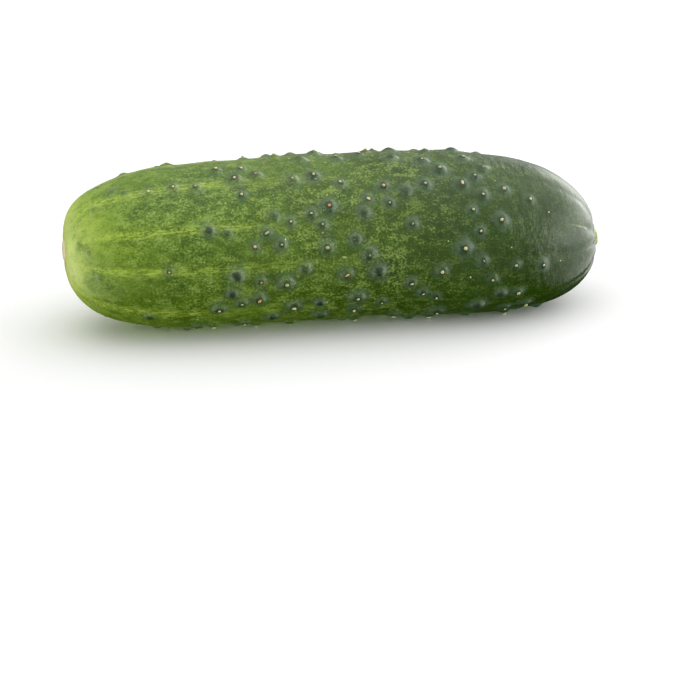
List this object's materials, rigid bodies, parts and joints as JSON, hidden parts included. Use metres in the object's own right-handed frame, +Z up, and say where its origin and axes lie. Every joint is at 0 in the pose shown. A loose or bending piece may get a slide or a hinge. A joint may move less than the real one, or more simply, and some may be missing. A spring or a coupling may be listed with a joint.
{
  "type": "cucumber",
  "caption": "Short warty pickling cucumber lying on its side, pale blunt blossom end, darker stem end.",
  "frame": {"origin": "on the surface that the fruit rests on, under the middle of its box", "axes": "+X along the fruit towards the stem end, -X towards the blossom end, +Z up"},
  "size_m": [0.1208, 0.0392, 0.0378],
  "materials": {
    "skin": "waxy natural skin, satin gloss, yellow-green at the blossom end to dark green at the stem end"
  },
  "bodies": {
    "root": {"cucumber": "skin"}
  },
  "joints": []
}
